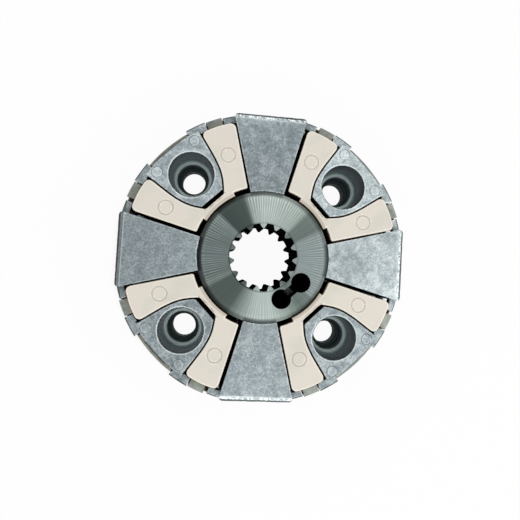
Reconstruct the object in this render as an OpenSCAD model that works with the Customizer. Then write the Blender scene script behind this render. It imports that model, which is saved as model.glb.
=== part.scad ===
// Hydraulic pump coupling: a splined steel hub carries four aluminium wings, which drive four
// aluminium bolt inserts through four V-shaped plastic cushions.
// The origin lies on the shaft axis at the back faces, which are what the coupling rests on.
// +Z points along the shaft to the front, the X and Y axes run through the wings.

/* [Ring] */
// Depth of the wings, inserts and cushions along the shaft
ring_t = 47; // [42:1:54]
// Bolt circle diameter of the four inserts
bolt_pcd = 163; // [161:0.5:165]
// Turn of the hub side in its play, as the coupling lies
rest_twist = 0.5; // [0:0.1:0.7]

/* [Hub] */
// Outside diameter of the hub
hub_d = 99.4; // [97:0.2:99.8]
// Length of the hub along the shaft
hub_len = 46; // [40:1:54]
// Width of the turned chamfer round the front face
hub_chamfer = 3.4; // [1:0.1:4]
// Depth of that chamfer
hub_chamfer_t = 2.4; // [1:0.1:4]
// Width of the small chamfer on the other turned edges
edge_chamfer = 1.2; // [0.4:0.1:2]

/* [Spline] */
// Number of teeth in the bore
spline_teeth = 15; // [13:1:16]
// Diameter at the roots of the teeth
spline_major_d = 51.5; // [50:0.1:53]
// Diameter at the tips of the teeth
spline_minor_d = 44.4; // [43:0.1:46]
// Width of a tooth at its root
tooth_root_w = 5.7; // [5:0.1:6.2]
// Width of a tooth at its tip
tooth_tip_w = 1.4; // [0.8:0.1:2.5]
// Turn of the first tooth from the X axis
spline_phase = -2.5; // [-12:0.5:12]

/* [Clamp slot] */
// Wall between the slot's round holes and the roots of the spline
slot_wall = 0.94; // [0.6:0.02:2]
// Direction of the slot round the shaft
slot_angle = 313; // [300:1:330]
// Diameter of the round hole at each end
slot_hole_d = 15; // [12:0.5:15.5]
// Distance between the two round holes
slot_pitch = 19.3; // [18:0.1:22]
// Width of the slot between the holes
slot_w = 7.4; // [5:0.1:9]
// Depth of the slot from the front face
slot_depth = 34; // [28:1:38]
// Thread diameter of the clamp screw
clamp_d = 12; // [10:1:14]
// Hexagon key size of the clamp screw
clamp_key = 6; // [5:1:8]

/* [Wings] */
// Angle from the middle of a wing to each of its sides
wing_half_angle = 14.7; // [13.5:0.1:15.5]
// Step from the inserts' outer edges out to the wings' flat ends
wing_rise = 1.6; // [0:0.1:3]
// Rounding of the two outer corners
wing_corner_r = 2.6; // [1:0.1:4]
// Width of the dressed bevel along the outer edge of the front
wing_bevel = 4.2; // [1:0.1:6]
// Depth of that bevel
wing_bevel_t = 1.3; // [0.6:0.1:2.5]
// Edge rounding of the castings
cast_edge = 0.8; // [0.4:0.1:1.2]

/* [Wing screws] */
// Thread diameter of the radial screw that holds a wing
screw_d = 16; // [14:1:18]
// Diameter of the screw head
head_d = 24; // [21:1:26]
// Height of the screw head
head_h = 16; // [12:1:18]
// Hexagon key size of the screw
screw_key = 14; // [10:1:14]
// Depth from the flat outer end to the top of the head
head_recess = 2; // [1:0.5:5]
// Wall between the end of the screw's hole and the roots of the spline
screw_wall = 4.7; // [3:0.1:8]
// Free length of the hole past the screw's tip
screw_run_out = 1; // [0.5:0.1:3]

/* [Inserts] */
// Distance from the bolt circle out to the outer edge of an insert
insert_reach = 24.5; // [22:0.1:26]
// Half width at the outer corners
insert_half_w = 25.2; // [24.6:0.1:25.6]
// Half width where the side bends near the bolt
waist_half_w = 20.8; // [20.4:0.1:21.2]
// Distance from the bolt circle in to that bend
waist_back = 1.6; // [0:0.1:4]
// Rounding of that bend
waist_round = 70; // [30:5:80]
// Half width at the shoulder of the nose
nose_half_w = 17.1; // [16.6:0.1:17.6]
// Distance from the flat tip out to that shoulder
nose_len = 8.8; // [7:0.1:10]
// Rounding of the shoulder
nose_round = 38; // [10:1:38]
// Half width of the flat tip
tip_half_w = 10.2; // [8:0.1:11]
// Radius of the raised moulding marks at the outer corners
mark_r = 3.9; // [2.5:0.1:4.2]
// Distance from the outer edge in to the middle of those marks
mark_back = 5.4; // [5:0.1:7]
// Angle from the middle of the insert to those marks
mark_angle = 10.3; // [9:0.1:10.5]
// Radius of the small mark near the tip
small_mark_r = 2.1; // [1:0.1:2.4]
// Distance from the tip out to the middle of the small mark
small_mark_out = 3.4; // [3:0.1:3.6]
// Height of the marks
mark_h = 0.35; // [0.2:0.05:0.6]

/* [Insert holes] */
// Clearance hole for the flange bolt
bolt_hole_d = 18.56; // [17:0.1:20]
// Diameter of the pocket round the bolt head
head_pocket_d = 24.2; // [23:0.1:26]
// Height of the seat under the bolt head above the back face
head_seat_h = 11.7; // [9:0.1:14]
// Mouth diameter of the wide front recess
recess_d = 33.2; // [31:0.1:34]
// Depth of the front recess down to its shoulder
recess_depth = 23.4; // [18:0.1:26]
// Narrowing of the recess from mouth to shoulder, on the radius
recess_draft = 0.9; // [0.3:0.1:1.5]
// Fillet at the bottom of the recess
recess_fillet = 2.6; // [1:0.1:3]
// Chamfer at the mouths of the hole and the recess
mouth_chamfer = 0.9; // [0.3:0.1:1.2]

/* [Lips] */
// Distance from the front and back faces to the retaining lips
lip_inset = 7; // [5:0.5:9]
// Thickness of a lip along the shaft
lip_t = 5; // [3:0.5:6]
// Edge chamfer of a lip
lip_chamfer = 0.8; // [0.3:0.1:1.2]
// Step from the inserts' outer edges out to their lips' rims
insert_lip_rise = 6; // [4:0.1:8]
// Angle from the middle of an insert to the start of its lip
insert_lip_from = 9.8; // [6:0.2:12]
// Angle from the middle of an insert to the end of its lip
insert_lip_to = 17.8; // [15:0.2:20]
// Step from the inserts' outer edges out to the wing lips' rims
wing_lip_rise = 4.6; // [3:0.1:5]
// Angle from the middle of a wing to the end of its lip
wing_lip_to = 19.4; // [17:0.2:21]

/* [Cushions] */
// Step from the inserts' outer edges in to the arms' outer ends
arm_drop = 2; // [1:0.1:4]
// Step from the inserts' outer edges out to the band behind the lips
band_rise = 4.8; // [3:0.1:5]
// Step from the inserts' outer edges out to the tongues between the lips of insert and wing
tongue_rise = 5.4; // [5.2:0.1:6]
// Step from the inserts' outer edges out to the tongue in the middle
middle_tongue_rise = 3.7; // [3:0.1:5]
// Thickness of the web that joins the arms near the hub
web_t = 4.9; // [3:0.1:5.5]
// Half angle of that web
web_half_angle = 16.3; // [14:0.1:18]
// Rounding of the inner corners of the insert's pocket
pocket_round = 2; // [1:0.1:3]
// Step from the web out to the inner ends of the arms
arm_step = 2.8; // [1:0.1:4]
// Rounding of the arms' inner ends
toe_round = 1.5; // [0.5:0.1:2]
// Rounding of the arms' outer ends between their corners
crown_round = 30; // [20:5:40]
// Rounding of the outer corners of the arms
arm_corner_r = 4; // [2:0.2:5]
// Edge rounding of the plastic
plastic_edge = 1.3; // [0.6:0.1:1.6]
// Diameter of the faint round moulding mark on each arm
arm_mark_d = 11; // [6:0.2:11.4]
// Width of the mark's groove
arm_mark_w = 0.45; // [0.3:0.05:0.8]
// Depth of the mark's groove
arm_mark_t = 0.25; // [0.1:0.05:0.4]
// Distance from the bolt circle in to the circle of the arm marks
arm_mark_back = 0.4; // [0:0.1:2]
// Angle from the middle of the insert to an arm mark
arm_mark_angle = 22; // [21.6:0.1:22.4]

/* [Clearances] */
// Gap between a wing and the cushion arm beside it
flank_gap = 1.8; // [1.6:0.05:2.2]
// Gap between an insert and its cushion
insert_gap = 0.9; // [0.4:0.05:1.1]
// Gap between the web and the insert's tip
tip_gap = 3; // [1:0.1:4]
// Gap between the hub and the cushion webs
hub_gap = 0.8; // [0.4:0.05:1.2]
// Radial gap between the arms and the lips over them
lip_gap = 0.8; // [0.4:0.05:1]
// Gap along the shaft between the lips and the outer band
band_gap = 0.4; // [0.3:0.05:0.8]
// Fit between the wings and the hub, and round the screws
seat_gap = 0.05; // [0.02:0.01:0.1]
// Clearance round a screw in its plain hole
screw_gap = 0.5; // [0.3:0.05:1]

/* [Hidden] */

// Four wings and four inserts take turns round the shaft
stations = 4;
quarter = 360 / stations;
hub_r = hub_d / 2;
mid_z = ring_t / 2;
bolt_r = bolt_pcd / 2;
insert_r = bolt_r + insert_reach;
insert_lip_r = insert_r + insert_lip_rise;
wing_flat_r = insert_r + wing_rise;
wing_lip_r = insert_r + wing_lip_rise;
arm_r = insert_r - arm_drop;
band_r = insert_r + band_rise;
tongue_r = insert_r + tongue_rise;
middle_tongue_r = insert_r + middle_tongue_rise;
lip_r = arm_r + lip_gap;
wing_seat_r = hub_r + seat_gap;
web_r = hub_r + hub_gap;
web_out_u = web_r + web_t;
tip_u = web_out_u + tip_gap;
nose_u = tip_u + nose_len;
waist_u = bolt_r - waist_back;
// Direction of a wing's side seen from the middle of the insert beside it
flank_angle = quarter / 2 - wing_half_angle;
head_seat_r = wing_flat_r - head_recess - head_h;
turned_fn = 120;
corner_steps = 4;
eps = 0.01;
// How far a cutting body reaches past what it cuts
margin = 1;

steel = "#9aa3a4";
dark_steel = "#4a4d4f";
cast_alloy = "#a9b2b3";
cream = "#ddd8cb";

// Plane geometry

function unit(v) = v / norm(v);
function polar(r, a) = r * [cos(a), sin(a)];
function left_of(v) = [-v.y, v.x];
function reversed(items) = [for (i = [len(items) - 1 : -1 : 0]) items[i]];
function mirrored(points) = [for (p = points) [p.x, -p.y]];

// Where the line through p along u meets the line through q along w
function crossing(p, u, q, w) =
    let (d = q - p)
    p + u * (d.x * w.y - d.y * w.x) / (u.x * w.y - u.y * w.x);

// Where a line at the angle a, set off by gap towards the X axis, meets a circle round the origin
function on_flank(r, a, gap) = polar(sqrt(r * r - gap * gap), a) - gap * left_of(polar(1, a));

// The closed outline with each edge moved inwards by its own distance; edge i starts at point i
function moved_in(points, by) =
    let (n = len(points))
    [for (i = [0 : n - 1])
        let (
            before = points[(i + n - 1) % n],
            here = points[i],
            after = points[(i + 1) % n],
            u = unit(here - before),
            w = unit(after - here),
            turn = abs(u.x * w.y - u.y * w.x),
            p = here + by[(i + n - 1) % n] * left_of(u),
            q = here + by[i] * left_of(w)
        )
        turn < 0.001 ? q : crossing(p, u, q, w)];

// The arc that rounds the corner b of the path a, b, c
function corner_arc(a, b, c, r) =
    let (
        u = unit(a - b),
        w = unit(c - b),
        half = acos(u * w) / 2,
        centre = b + unit(u + w) * r / sin(half),
        start = b + u * r / tan(half) - centre,
        finish = b + w * r / tan(half) - centre,
        a0 = atan2(start.y, start.x),
        turn = atan2(start.x * finish.y - start.y * finish.x, start * finish)
    )
    [for (i = [0 : corner_steps]) centre + polar(r, a0 + turn * i / corner_steps)];

// True where the outline turns left at b, which is a convex corner of a counter-clockwise outline
function convex(a, b, c) = (b.x - a.x) * (c.y - b.y) - (b.y - a.y) * (c.x - b.x) > 0;

least_r = 0.05;

// A counter-clockwise outline moved in by inset, with its corners rounded by their own radii
function rounded(points, radii, inset = 0) =
    let (
        n = len(points),
        inner = moved_in(points, [for (p = points) inset])
    )
    [for (i = [0 : n - 1])
        let (
            a = inner[(i + n - 1) % n],
            b = inner[i],
            c = inner[(i + 1) % n],
            r = max(least_r, radii[i] + (convex(a, b, c) ? -inset : inset))
        )
        each (radii[i] > 0 ? corner_arc(a, b, c, r) : [b])];

// Triangles from the outline point eye to each edge between two others
function fan(eye, first, last, n) = [for (i = [first : last - 1])
    let (j = (i + 1) % n)
    if (i != eye && j != eye) [eye, i, j]];

// The triangles of half of a mirrored outline with n points, from its first point to its middle
// one. The point heel sees the outline back to the point sole, and sole sees all the rest.
function half_cap(sole, heel, n) = concat(
    fan(heel, sole, heel, n),
    fan(sole, heel, n / 2, n), [[sole, n / 2, 0]],
    fan(sole, 0, sole, n)
);

// A solid with a rounded outline, whose ends shrink through the given [height, inset] levels.
// A convex outline is capped from its first point, and a mirrored one as half_cap says.
module moulded(points, radii, levels, sole = 0, heel = 0) {
    rings = [for (level = levels) rounded(points, radii, level[1])];
    n = len(rings[0]);
    top = len(levels) - 1;
    corners = [for (k = [0 : top]) for (p = rings[k]) [p.x, p.y, levels[k][0]]];
    sides = [for (k = [0 : top - 1]) for (i = [0 : n - 1])
        let (j = (i + 1) % n, low = k * n, high = (k + 1) * n)
        each [[low + i, high + i, high + j], [low + i, high + j, low + j]]];
    half = half_cap(sole, heel, n);
    end = sole == 0 ? fan(0, 1, n - 1, n)
        : concat(half, [for (t = half) [for (i = reversed(t)) (n - i) % n]]);
    lid = [for (t = end) [for (i = reversed(t)) top * n + i]];
    polyhedron(points = corners, faces = concat(end, sides, lid), convexity = 6);
}

// Levels of a body between two heights whose upper and lower edges are rounded by r
function rounded_ends(low, high, r, steps = 2) =
    let (fillet = [for (i = [0 : steps]) r * [1 - sin(90 * i / steps), 1 - cos(90 * i / steps)]])
    concat(
        [for (i = [steps : -1 : 0]) [low + fillet[i].x, fillet[i].y]],
        [for (f = fillet) [high - f.x, f.y]]
    );

// Part of a ring between two angles, with its outer edges chamfered
module ring_sector(r_in, r_out, from, to, low, high, chamfer = 0) {
    rotate([0, 0, from])
        rotate_extrude(angle = to - from, $fn = turned_fn)
            polygon([
                [r_in, low], [r_out - chamfer, low], [r_out, low + chamfer],
                [r_out, high - chamfer], [r_out - chamfer, high], [r_in, high]
            ]);
}

// The same lip near the front and near the back
module lip_pair(r_in, r_out, from, to) {
    for (low = [lip_inset, ring_t - lip_inset - lip_t])
        ring_sector(r_in, r_out, from, to, low, low + lip_t, lip_chamfer);
}
// A lip at both sides of a piece
module lips(r_in, r_out, from, to) {
    lip_pair(r_in, r_out, from, to);
    lip_pair(r_in, r_out, -to, -from);
}

// A solid of revolution about a radial axis at mid depth, drawn from the shaft outwards
module radial_cylinder(d, from, to) {
    translate([from, 0, mid_z])
        rotate([0, 90, 0])
            cylinder(h = to - from, d = d, $fn = turned_fn);
}

// Hub

tooth_angle = 360 / spline_teeth;
spline_root_r = spline_major_d / 2;
spline_tip_r = spline_minor_d / 2;
// The chamfer at each end of the bore reaches just past the roots of the teeth
mouth_depth = 1.1;
mouth_r = spline_root_r + 0.8;
screw_hole_end_r = spline_root_r + screw_wall;
screw_tip_r = screw_hole_end_r + screw_run_out;
// Radius from the shaft axis to the middle of the slot, and to the round hole at each end of it
slot_end_r = spline_root_r + slot_wall + slot_hole_d / 2;
slot_r = sqrt(pow(slot_end_r, 2) - pow(slot_pitch / 2, 2));
slot_inner_r = slot_r - slot_w / 2;
clamp_tip_r = slot_inner_r + seat_gap;
clamp_sink = 1.2;

// The open section of the bore, one tooth and one space at a time
function spline_outline() = [for (k = [0 : spline_teeth - 1])
    let (
        at = spline_phase + k * tooth_angle,
        tip = asin(tooth_tip_w / 2 / spline_tip_r),
        root = asin(tooth_root_w / 2 / spline_root_r),
        space = tooth_angle - 2 * root
    )
    each concat(
        [polar(spline_root_r, at - root), polar(spline_tip_r, at - tip)],
        [polar(spline_tip_r, at + tip)],
        [for (i = [0 : 3]) polar(spline_root_r, at + root + space * i / 4)]
    )];

module hub_blank() {
    rotate_extrude($fn = turned_fn)
        polygon([
            [0, 0],
            [hub_r - edge_chamfer, 0],
            [hub_r, edge_chamfer],
            [hub_r, hub_len - hub_chamfer_t],
            [hub_r - hub_chamfer, hub_len],
            [0, hub_len]
        ]);
}

module spline_bore() {
    translate([0, 0, -eps])
        linear_extrude(hub_len + 2 * eps)
            polygon(spline_outline());
    for (end = [0, 1])
        translate([0, 0, end * hub_len])
            mirror([0, 0, end])
                translate([0, 0, -eps])
                    cylinder(h = mouth_depth, r1 = mouth_r, r2 = mouth_r - mouth_depth, $fn = turned_fn);
}

module clamp_slot() {
    rotate([0, 0, slot_angle])
        translate([slot_r, 0, hub_len - slot_depth]) {
            for (side = [-1, 1])
                translate([0, side * slot_pitch / 2, 0])
                    cylinder(h = slot_depth + eps, d = slot_hole_d, $fn = turned_fn);
            translate([-slot_w / 2, -slot_pitch / 2, 0])
                cube([slot_w, slot_pitch, slot_depth + eps]);
        }
}

module hub() {
    color(steel)
        difference() {
            hub_blank();
            spline_bore();
            clamp_slot();
            rotate([0, 0, slot_angle])
                radial_cylinder(clamp_d + 2 * seat_gap, slot_r, hub_r + eps);
            rotate([0, 0, rest_twist])
                for (k = [0 : stations - 1])
                    rotate([0, 0, k * quarter])
                        radial_cylinder(screw_d + 2 * seat_gap, screw_hole_end_r, hub_r + eps);
        }
}

// A hexagon socket along the X axis, open towards +X
module key_socket(key, from, to) {
    translate([from, 0, mid_z])
        rotate([0, 90, 0])
            rotate([0, 0, 30])
                cylinder(h = to - from, d = key / cos(30), $fn = 6);
}

module clamp_screw() {
    top = hub_r - clamp_sink;
    color(dark_steel)
        rotate([0, 0, slot_angle])
            difference() {
                radial_cylinder(clamp_d, clamp_tip_r, top);
                key_socket(clamp_key, top - clamp_d / 2, top + eps);
            }
}

// Wings

wing_root_u = hub_r * 0.8;

function wing_half_w(u) = u * tan(wing_half_angle);
function wing_corners(flat) = [
    [wing_root_u, -wing_half_w(wing_root_u)],
    [flat, -wing_half_w(flat)],
    [flat, wing_half_w(flat)],
    [wing_root_u, wing_half_w(wing_root_u)]
];
wing_radii = [0, wing_corner_r, wing_corner_r, 0];

module wing_body() {
    levels = rounded_ends(0, ring_t, cast_edge);
    intersection() {
        moulded(wing_corners(wing_flat_r), wing_radii, levels);
        wing_bevel_cut();
    }
}

// The block that leaves the dressed bevel along the outer edge of the front
module wing_bevel_cut() {
    half = wing_half_w(wing_flat_r) + margin;
    translate([0, half, 0])
        rotate([90, 0, 0])
            linear_extrude(2 * half)
                polygon([
                    [wing_root_u - margin, -margin],
                    [wing_flat_r + margin, -margin],
                    [wing_flat_r + margin, ring_t - wing_bevel_t * (1 + margin / wing_bevel)],
                    [wing_flat_r - wing_bevel, ring_t],
                    [wing_flat_r - wing_bevel, ring_t + margin],
                    [wing_root_u - margin, ring_t + margin]
                ]);
}

module wing() {
    color(cast_alloy)
        difference() {
            union() {
                wing_body();
                lips(lip_r, wing_lip_r, wing_half_angle * 0.85, wing_lip_to);
            }
            translate([0, 0, -margin])
                cylinder(h = ring_t + 2 * margin, r = wing_seat_r, $fn = turned_fn);
            radial_cylinder(screw_d + 2 * screw_gap, hub_r - margin, wing_flat_r);
            radial_cylinder(head_d + 2 * screw_gap, head_seat_r, wing_flat_r + margin);
        }
}

// A socket head cap screw from its tip in the hub to its head in the wing
module wing_screw() {
    head_top = head_seat_r + head_h;
    color(dark_steel)
        translate([0, 0, mid_z])
            rotate([0, 90, 0])
                difference() {
                    rotate_extrude($fn = turned_fn)
                        polygon([
                            [0, screw_tip_r],
                            [screw_d / 2 - edge_chamfer, screw_tip_r],
                            [screw_d / 2, screw_tip_r + edge_chamfer],
                            [screw_d / 2, head_seat_r],
                            [head_d / 2, head_seat_r],
                            [head_d / 2, head_top - edge_chamfer],
                            [head_d / 2 - edge_chamfer, head_top],
                            [0, head_top]
                        ]);
                    translate([0, 0, head_top - head_h / 2])
                        cylinder(h = head_h / 2 + eps, d = screw_key / cos(30), $fn = 6);
                }
}

// Inserts

// Half of the kite outline, from the tip to the outer corner
insert_corner_u = sqrt(insert_r * insert_r - insert_half_w * insert_half_w);
kite_half = [
    [tip_u, tip_half_w],
    [nose_u, nose_half_w],
    [waist_u, waist_half_w],
    [insert_corner_u, insert_half_w]
];
kite_radii = [1, nose_round, waist_round, cast_edge];
outer_half_angle = asin(insert_half_w / insert_r);
outer_arc_count = 6;
outer_arc = [for (i = [1 : outer_arc_count - 1])
    polar(insert_r, outer_half_angle * (2 * i / outer_arc_count - 1))];

insert_points = concat(mirrored(kite_half), outer_arc, reversed(kite_half));
insert_radii = concat(kite_radii, [for (p = outer_arc) 0], reversed(kite_radii));

// The stepped bolt hole with its wide front recess
module stepped_hole() {
    mouth = recess_d / 2;
    foot = mouth - recess_draft;
    shoulder = ring_t - recess_depth;
    pocket = head_pocket_d / 2;
    pocket_chamfer = mouth_chamfer / 2;
    rotate_extrude($fn = turned_fn)
        polygon(concat(
            [
                [0, -eps],
                [bolt_hole_d / 2 + mouth_chamfer, -eps],
                [bolt_hole_d / 2, mouth_chamfer],
                [bolt_hole_d / 2, head_seat_h],
                [pocket, head_seat_h],
                [pocket, shoulder - pocket_chamfer],
                [pocket + pocket_chamfer, shoulder]
            ],
            [for (i = [0 : 4])
                [foot - recess_fillet, shoulder + recess_fillet] + recess_fillet * [sin(22.5 * i), -cos(22.5 * i)]],
            [
                [mouth, ring_t - mouth_chamfer],
                [mouth + mouth_chamfer, ring_t + eps],
                [mouth + mouth_chamfer, ring_t + margin],
                [0, ring_t + margin]
            ]
        ));
}

// A low round mark on the front face
module raised_mark(at, r) {
    translate([at.x, at.y, ring_t - margin])
        cylinder(h = margin + mark_h, r = r, $fn = 48);
}

module bolt_insert() {
    color(cast_alloy)
        difference() {
            union() {
                moulded(insert_points, insert_radii, rounded_ends(0, ring_t, cast_edge));
                lips(lip_r, insert_lip_r, insert_lip_from, insert_lip_to);
                for (side = [-1, 1])
                    raised_mark(polar(insert_r - mark_back, side * mark_angle), mark_r);
                raised_mark([tip_u + small_mark_out, 0], small_mark_r);
            }
            translate([bolt_r, 0, 0])
                stepped_hole();
        }
}

// Cushions

arm_inner_r = web_r + arm_step;
// The insert's outline grown by its gap, with the pocket floor on the web
pocket_edges = [for (i = [0 : len(insert_points) - 1])
    i == len(insert_points) - 1 ? -tip_gap : -insert_gap];
pocket_points = moved_in(insert_points, pocket_edges);
pocket_floor = pocket_points[len(pocket_points) - 1];
pocket_nose = pocket_points[len(pocket_points) - 2];
pocket_waist = pocket_points[len(pocket_points) - 3];
pocket_mouth = pocket_points[len(pocket_points) - 4];
pocket_slope = unit(pocket_mouth - pocket_waist);

// Where the pocket's side runs out through the end of the arm
function along_to_radius(p, u, r) =
    let (b = p * u, c = p * p - r * r)
    p + u * (sqrt(b * b - c) - b);

arm_mouth = along_to_radius(pocket_waist, pocket_slope, arm_r);
arm_heel = on_flank(arm_r, flank_angle, flank_gap);
arm_crown = polar(arm_r, (atan2(arm_mouth.y, arm_mouth.x) + atan2(arm_heel.y, arm_heel.x)) / 2);
arm_toe = on_flank(arm_inner_r, flank_angle, flank_gap);
toe_angle = atan2(arm_toe.y, arm_toe.x);

web_arc = [for (i = [3 : -1 : 1]) polar(web_r, web_half_angle * i / 3)];
// One half of the V, from the pocket floor round the arm to the web
arm_corners = [pocket_floor, pocket_nose, pocket_waist, arm_mouth, arm_crown, arm_heel, arm_toe];
arm_radii = [
    pocket_round, nose_round + insert_gap, waist_round + insert_gap,
    arm_corner_r, crown_round, arm_corner_r, toe_round
];
arm_heel_point = polar(arm_inner_r, (toe_angle + web_half_angle) / 2);
half_points = concat(arm_corners, [arm_heel_point, polar(arm_inner_r, web_half_angle)], web_arc);
half_radii = concat(arm_radii, [for (i = [1 : len(web_arc) + 2]) 0]);
cushion_points = concat([[web_out_u, 0]], half_points, [[web_r, 0]], reversed(mirrored(half_points)));
cushion_radii = concat([0], half_radii, [0], reversed(half_radii));
// Numbers of two points on the rounded outline: the end of the pocket floor's corner, and the
// middle of the arm's inner end
sole_number = 1 + corner_steps;
heel_number = 1 + len(arm_corners) * (corner_steps + 1);
band_low = lip_inset + lip_t + band_gap;
band_end_angle = flank_angle - asin(flank_gap / arm_r);
band_split_angle = asin((insert_half_w + insert_gap) / arm_r) + 0.2;
lip_end_gap = asin(lip_gap / band_r);
middle_tongue_to = insert_lip_from - lip_end_gap;
side_tongue_from = insert_lip_to + lip_end_gap;
side_tongue_to = quarter / 2 - wing_lip_to - asin(flank_gap / arm_r);

// A part of the rim that is as deep as both lips and what lies between them
module tongue(r, from, to) {
    ring_sector(arm_r - arm_corner_r, r, from, to, lip_inset, ring_t - lip_inset, plastic_edge / 2);
}

// The band that joins the arms outside the insert and passes behind the lips, with its tongues
module outer_band() {
    difference() {
        union() {
            ring_sector(arm_r - 2 * arm_corner_r, band_r, -band_end_angle, band_end_angle,
                band_low, ring_t - band_low, plastic_edge / 2);
            tongue(middle_tongue_r, -middle_tongue_to, middle_tongue_to);
            tongue(tongue_r, side_tongue_from, side_tongue_to);
            tongue(tongue_r, -side_tongue_to, -side_tongue_from);
        }
        ring_sector(arm_r - 3 * arm_corner_r, insert_r + insert_gap,
            -band_split_angle, band_split_angle, 0, ring_t);
    }
}

// A fine round groove in the front face
module arm_mark(side) {
    rotate([0, 0, side * arm_mark_angle])
        translate([bolt_r - arm_mark_back, 0, ring_t - arm_mark_t])
            difference() {
                cylinder(h = arm_mark_t + margin, d = arm_mark_d, $fn = 48);
                translate([0, 0, -margin])
                    cylinder(h = arm_mark_t + 3 * margin, d = arm_mark_d - 2 * arm_mark_w, $fn = 48);
            }
}

module cushion() {
    color(cream)
        difference() {
            union() {
                moulded(cushion_points, cushion_radii, rounded_ends(0, ring_t, plastic_edge, 3),
                    sole_number, heel_number);
                outer_band();
            }
            for (side = [-1, 1])
                arm_mark(side);
        }
}

hub();
clamp_screw();
for (k = [1 : stations]) {
    rotate([0, 0, (k - 1) * quarter + rest_twist]) wing();
    rotate([0, 0, (k - 1) * quarter + rest_twist]) wing_screw();
    rotate([0, 0, (k - 0.5) * quarter]) bolt_insert();
    rotate([0, 0, (k - 0.5) * quarter]) cushion();
}
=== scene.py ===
"""Finished look of the hydraulic pump coupling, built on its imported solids."""

import logging
import math
from collections.abc import Mapping, Sequence
from dataclasses import dataclass
from enum import Enum

import bmesh
import bpy
from bmesh.types import BMesh, BMVert
from bpy.types import Material, NodeSocket, NodeTree, Object
from mathutils import Matrix, Vector, noise


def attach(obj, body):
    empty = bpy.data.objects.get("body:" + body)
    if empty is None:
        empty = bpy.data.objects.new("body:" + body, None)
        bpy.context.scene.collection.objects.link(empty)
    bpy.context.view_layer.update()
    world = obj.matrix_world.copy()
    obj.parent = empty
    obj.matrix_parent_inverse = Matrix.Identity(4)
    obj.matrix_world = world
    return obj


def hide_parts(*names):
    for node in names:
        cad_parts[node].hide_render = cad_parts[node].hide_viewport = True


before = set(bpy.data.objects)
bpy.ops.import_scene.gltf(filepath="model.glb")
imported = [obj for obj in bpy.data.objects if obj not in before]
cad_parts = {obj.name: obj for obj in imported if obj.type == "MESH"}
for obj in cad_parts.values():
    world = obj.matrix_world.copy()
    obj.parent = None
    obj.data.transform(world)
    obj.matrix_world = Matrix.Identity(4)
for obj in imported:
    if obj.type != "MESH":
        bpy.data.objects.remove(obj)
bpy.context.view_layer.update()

log = logging.getLogger("coupling")
MM = 0.001
STATIONS = 4
QUARTER_DEG = 360 / STATIONS
PHOTO_PX = 520
# The front faces of the wings, inserts and cushions, and the plane halfway down to their backs
FRONT_MM = 47.0
MIDDLE_MM = 23.5
# Where the flange bolts stand, along X and along Y
BOLT_AT_MM = (57.63, 57.63)
# The radii of the outer faces of the lips
WING_LIP_MM = 110.6
INSERT_LIP_MM = 112.0
# The Mix node's sockets for colours, which share their names with those for numbers
COLOUR_A, COLOUR_B, COLOUR_OUT = 6, 7, 2

Input = NodeSocket | float | str | tuple[float, ...]
Stops = Sequence[tuple[float, str]]


class Body(Enum):
    """The two bodies of the coupling that turn against each other."""

    FLANGE_SIDE = "flange_side"
    HUB_SIDE = "hub_side"


class CastTone(Enum):
    """How bright a casting's skin shows: its dark, middle and light tones."""

    DULL = ("#6d777a", "#848e92", "#9fa8ab")
    FAIR = ("#7a8488", "#939da1", "#b0b9bb")
    BRIGHT = ("#8d979a", "#a9b3b6", "#c4cccd")


@dataclass(frozen=True)
class Gap:
    """When a place counts as a gap, which is kept dark: by painted shade on the coupling, and on the floor by
    the card's own shade.

    Args:
        reach_mm: How far off a wall still shuts the place in.
        shut: The open share of the view below which the place is black.
        free: The open share above which it is not darkened at all.
    """

    reach_mm: float
    shut: float
    free: float


def linear(code: str) -> tuple[float, float, float, float]:
    """Turns an sRGB hex colour into Blender's linear colour.

    Args:
        code: The colour as "#rrggbb".

    Returns:
        Red, green, blue and an alpha of 1.
    """
    parts = [int(code[i:i + 2], 16) / 255 for i in (1, 3, 5)]
    lit = [c / 12.92 if c <= 0.04045 else ((c + 0.055) / 1.055) ** 2.4 for c in parts]
    return (lit[0], lit[1], lit[2], 1.0)


def per_mm(size: float) -> float:
    """Gives the texture scale at which a pattern repeats about once in size millimetres."""
    return 1 / (size * MM)


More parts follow.
